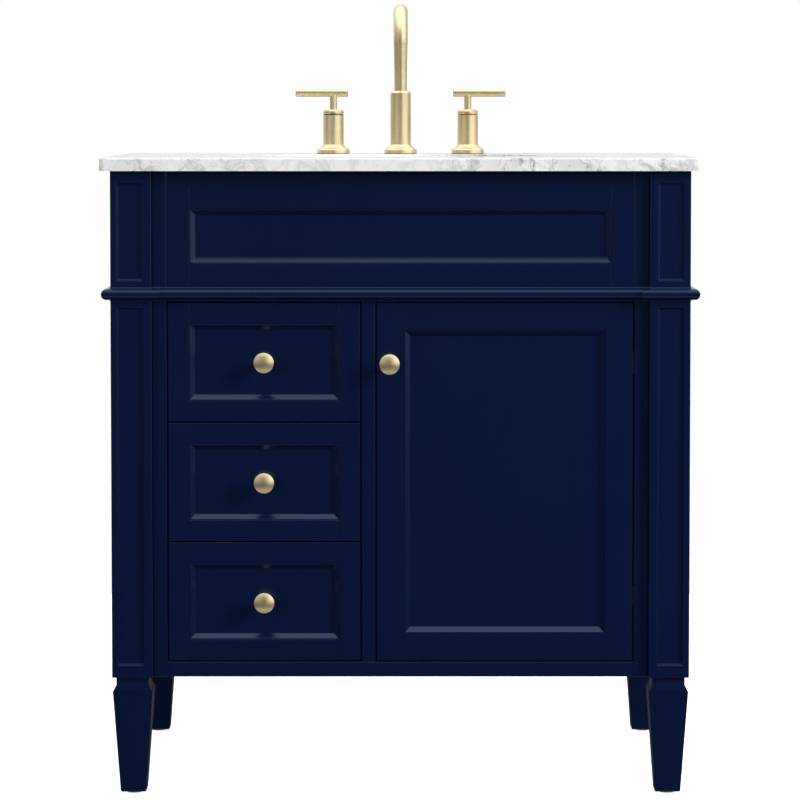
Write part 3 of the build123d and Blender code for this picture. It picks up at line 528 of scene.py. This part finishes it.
def circle(work, centre, axis, radius, height):
    """A loop of points round axis, height along it from centre."""
    turn = Vector((0.0, 0.0, 1.0)).rotation_difference(Vector(axis))
    around = [2.0 * math.pi * i / round_sides for i in range(round_sides)]
    points = [Vector((radius * math.cos(a), radius * math.sin(a), height)) for a in around]
    return [work.verts.new(Vector(centre) + turn @ point) for point in points]


def add_tube(work, centre, axis, profile):
    """A turned solid with a hole through it. profile is a closed loop of (radius, height along axis)."""
    rows = [circle(work, centre, axis, radius, height) for radius, height in profile]
    add_loft(work, rows + rows[:1])


def meshed(name, work):
    bmesh.ops.recalc_face_normals(work, faces=work.faces)
    mesh = bpy.data.meshes.new(name)
    work.to_mesh(mesh)
    work.free()
    return mesh


def bored(work, centres, axis, radius, depth):
    """The solid in work with round blind holes. Each centre is on the face that axis points into."""
    solid = bpy.data.objects.new("undrilled", meshed("undrilled", work))
    drill = bmesh.new()
    for centre in centres:
        rims = [circle(drill, centre, axis, radius, height) for height in (-depth, depth)]
        for rim in rims:
            drill.faces.new(rim)
        add_loft(drill, rims)
    cutter = bpy.data.objects.new("drill", meshed("drill", drill))
    for made in (solid, cutter):
        bpy.context.scene.collection.objects.link(made)
    cut = solid.modifiers.new("bores", "BOOLEAN")
    cut.operation = "DIFFERENCE"
    cut.solver = "EXACT"
    cut.object = cutter
    result = bpy.data.meshes.new_from_object(solid.evaluated_get(bpy.context.evaluated_depsgraph_get()))
    for made in (solid, cutter):
        spent = made.data
        bpy.data.objects.remove(made)
        bpy.data.meshes.remove(spent)
    return result


thickness = 19.0 * MM
# The stuck moulding inside every frame: a small quirk, then a bevel down to the panel
quirk_width = 1.4 * MM
quirk_depth = 1.2 * MM
bevel_width = 7.0 * MM
panel_depth = 7.0 * MM
# The bead that holds a thin panel from behind
bead_width = 2.4 * MM
joint_ease = 1.0 * MM


def joined_front(
    name, node_names, body, place, u0, u1, v0, v1, stile, rails, panel_back=thickness, bores=None,
):
    """A front of two stiles, rails between them and flat panels, with its joints showing as fine lines.

    rails lists the (low, high) of each rail, from the bottom up. place takes u across, v up, w in from
    the face. bores are the arguments of bored() for holes in the second stile.
    """
    work = bmesh.new()
    add_block(work, place, u1 - stile, u1, v0, v1, 0.0, thickness)
    if bores:
        drilled = bored(work, *bores)
        work = bmesh.new()
        work.from_mesh(drilled)
        bpy.data.meshes.remove(drilled)
    add_block(work, place, u0, u0 + stile, v0, v1, 0.0, thickness)
    for low, high in rails:
        add_block(work, place, u0 + stile, u1 - stile, low, high, 0.0, thickness)
    for (_, low), (high, _) in zip(rails, rails[1:]):
        inner = (u0 + stile, u1 - stile, low, high)
        add_ring(work, place, *inner, [
            (0.0, quirk_depth), (quirk_width, quirk_depth),
            (quirk_width + bevel_width, panel_depth), (0.0, panel_depth),
        ])
        if panel_back < thickness:
            add_ring(work, place, *inner, [
                (0.0, panel_depth), (bead_width, panel_depth), (bead_width, thickness), (0.0, thickness),
            ])
        add_block(work, place, *inner, panel_depth, panel_back)
    made = new_piece(name, meshed(name, work), finishes["navy_lacquer"], body)
    ease_edges(made, joint_ease)
    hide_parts(*node_names)


def facing_front(face_y):
    return lambda u, v, w: Vector((u, face_y + w, v))


def facing_side(face_x, outward):
    return lambda u, v, w: Vector((face_x - outward * w, u, v))


def top_and_bottom(low, high, rail):
    return [(low.z, low.z + rail), (high.z - rail, high.z)]


drawer_stile = 29.0 * MM
fixed_stile = 32.0 * MM
door_stile = 38.0 * MM
door_panel_gauge = 6.0 * MM
drawers = (1, 2, 3)

for number in drawers:
    low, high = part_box(f"drawer_{number}_front")
    joined_front(
        f"drawer_{number}_front_joined", [f"drawer_{number}_front"], f"drawer_{number}", facing_front(low.y),
        low.x, high.x, low.z, high.z, drawer_stile, top_and_bottom(low, high, drawer_stile),
    )

low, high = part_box("fixed_front")
joined_front(
    "fixed_front_joined", ["fixed_front"], "cabinet", facing_front(low.y), low.x, high.x, low.z, high.z,
    fixed_stile, top_and_bottom(low, high, fixed_stile),
)

# The hinge cups: their centre from the door's edge and from the ends of the pair, and their bores
cup_inset = 21.5 * MM
cup_half = 31.0 * MM
cup_bore = 17.6 * MM
cup_bore_depth = 11.6 * MM
low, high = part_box("door_frame")
cups_low, cups_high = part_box("door_hinge_cups")
cup_levels = (cups_low.z + cup_half, cups_high.z - cup_half)
joined_front(
    "door_joined", ["door_frame", "door_panel"], "door", facing_front(low.y), low.x, high.x, low.z, high.z,
    door_stile, top_and_bottom(low, high, door_stile), panel_back=panel_depth + door_panel_gauge,
    bores=(
        [(high.x - cup_inset, high.y, level) for level in cup_levels],
        (0.0, -1.0, 0.0), cup_bore, cup_bore_depth,
    ),
)

# Dark strips behind the gaps round the door and beside the drawers: painted shade, which keeps the gaps dark
# where the lit inside of the cabinet would show. The hinge side of the door has none where the two hinge
# arms pass.
shade_strip_reach = 2.2 * MM
door_cover = 3.0 * MM
drawer_cover = 1.5 * MM
arm_room = 16.0 * MM
shade_strip_gauge = 1.2 * MM
shade_strip_clearance = 0.4 * MM
shade_strips = bmesh.new()
shade_strip_place = facing_front(high.y + shade_strip_clearance)
left, right = low.x + door_cover, high.x - door_cover
bottom, top = low.z - shade_strip_reach, high.z + shade_strip_reach
add_block(shade_strips, shade_strip_place, low.x - shade_strip_reach, left, bottom, top, 0.0, shade_strip_gauge)
add_block(shade_strips, shade_strip_place, left, right, high.z - door_cover, top, 0.0, shade_strip_gauge)
add_block(shade_strips, shade_strip_place, left, right, bottom, low.z + door_cover, 0.0, shade_strip_gauge)
breaks = [bottom] + [level + side for level in cup_levels for side in (-arm_room, arm_room)] + [top]
for z0, z1 in zip(breaks[::2], breaks[1::2]):
    add_block(shade_strips, shade_strip_place, right, high.x + shade_strip_reach, z0, z1, 0.0, shade_strip_gauge)
lowest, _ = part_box("drawer_3_front")
_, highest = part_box("drawer_1_front")
for x0, x1 in (
    (lowest.x - shade_strip_reach, lowest.x + drawer_cover),
    (highest.x - drawer_cover, highest.x + shade_strip_reach),
):
    add_block(shade_strips, shade_strip_place, x0, x1, lowest.z - shade_strip_reach, highest.z + shade_strip_reach, 0.0, shade_strip_gauge)
gap_shade_strips = new_piece(
    "gap_shade_strips", meshed("gap_shade_strips", shade_strips), finishes["dark_rubber"], "cabinet",
)
ease_edges(gap_shade_strips, 0.3 * MM)

waist_low, waist_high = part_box("front_waist_moulding")
side_bottom_rail = 40.0 * MM
side_top_rail = 37.0 * MM
side_stile = 38.0 * MM
# How far the middle rail reaches past the waist moulding
below_waist = 38.0 * MM
above_waist = 32.0 * MM
for side, outward in (("left", -1), ("right", 1)):
    low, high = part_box(f"{side}_side_panel")
    outer_x = low.x if outward < 0 else high.x
    joined_front(
        f"{side}_side_joined", [f"{side}_side_panel"], "cabinet", facing_side(outer_x, outward),
        low.y, high.y, low.z, high.z, side_stile,
        [
            (low.z, low.z + side_bottom_rail),
            (waist_low.z - below_waist, waist_high.z + above_waist),
            (high.z - side_top_rail, high.z),
        ],
    )

# ---------------------------------------------------------------- drawer boxes

side_board = 12.0 * MM
bottom_board = 6.0 * MM
fingers = 7


def as_drawn(x, y, z):
    """The place of pieces that are laid out along the frame's own axes."""
    return Vector((x, y, z))


for number in drawers:
    low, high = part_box(f"drawer_{number}_box")
    sides, ends, base = bmesh.new(), bmesh.new(), bmesh.new()
    inner_x = (low.x + side_board, high.x - side_board)
    inner_y = (low.y + side_board, high.y - side_board)
    step = (high.z - low.z) / fingers
    ends_y = ((low.y, inner_y[0]), (inner_y[1], high.y))
    for x0, x1 in ((low.x, inner_x[0]), (inner_x[1], high.x)):
        add_block(sides, as_drawn, x0, x1, *inner_y, low.z, high.z)
        for y0, y1 in ends_y:
            for i in range(fingers):
                owner = ends if i % 2 else sides
                add_block(owner, as_drawn, x0, x1, y0, y1, low.z + i * step, low.z + (i + 1) * step)
    for y0, y1 in ends_y:
        add_block(ends, as_drawn, *inner_x, y0, y1, low.z, high.z)
    add_block(base, as_drawn, *inner_x, *inner_y, low.z, low.z + bottom_board)
    for part, work, finish in (
        ("sides", sides, birch_side), ("ends", ends, birch_end), ("bottom", base, birch_bottom),
    ):
        name = f"drawer_{number}_box_{part}"
        board = new_piece(name, meshed(name, work), finish, f"drawer_{number}")
        ease_edges(board, 0.25 * MM, segments=2)
        if part == "sides":
            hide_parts(f"drawer_{number}_box")

# ---------------------------------------------------------------- aerator in the spout's outlet

tube_low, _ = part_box("spout_tube")
tube_radius = 11.0 * MM
outlet_height = 1.054
outlet = Vector((0.0, tube_low.y + tube_radius, outlet_height))
aerator = bmesh.new()
add_tube(aerator, outlet, (0.0, 0.0, 1.0), [
    (8.7 * MM, 0.6 * MM), (7.2 * MM, 0.6 * MM), (6.6 * MM, 1.4 * MM), (6.6 * MM, 4.0 * MM),
    (8.7 * MM, 4.0 * MM),
])
ring = new_piece("aerator_ring", meshed("aerator_ring", aerator), turned_upright, "spout")
ease_edges(ring, 0.2 * MM)

# Two layers of bars that cross, cut to the round of the ring
bar = 0.55 * MM
pitch = 1.8 * MM
screen_radius = 6.4 * MM
lower, between, upper = (outlet.z + height for height in (2.4 * MM, 3.2 * MM, 4.0 * MM))
screen = bmesh.new()
for i in range(-3, 4):
    half = math.sqrt(screen_radius ** 2 - (i * pitch) ** 2)
    x, y = outlet.x + i * pitch, outlet.y + i * pitch
    add_block(screen, as_drawn, x - bar, x + bar, outlet.y - half, outlet.y + half, lower, between)
    add_block(screen, as_drawn, outlet.x - half, outlet.x + half, y - bar, y + bar, between, upper)
grid = new_piece(
    "aerator_screen", meshed("aerator_screen", screen), finishes["grey_nylon"], "spout",
)
ease_edges(grid, 0.1 * MM, segments=2)

# ---------------------------------------------------------------- floor

floor_reach = 1.7
sheet = bmesh.new()
bmesh.ops.create_grid(sheet, x_segments=2, y_segments=2, size=floor_reach)
floor_mesh = bpy.data.meshes.new("floor")
sheet.to_mesh(floor_mesh)
sheet.free()
floor = bpy.data.objects.new("floor", floor_mesh)
bpy.context.scene.collection.objects.link(floor)
# Lit from within to a plain white, but for a faint shadow at each foot
pale = Finish(
    "pale_floor", Specular_IOR_Level=0.1, Emission_Strength=0.88, Emission_Color=(1.0, 1.0, 1.0, 1.0),
)
cloud = pale.noise(pale.place, 3.0, 2.0).outputs[0]
grit = pale.noise(pale.place, 200.0, 2.0).outputs[0]
floor.data.materials.append(pale.set(
    Base_Color=pale.mix(cloud, (0.93, 0.93, 0.93), (0.95, 0.95, 0.95)),
    Roughness=pale.between(grit, 0.6, 0.8),
))
floor.visible_diffuse = False
floor.visible_glossy = False
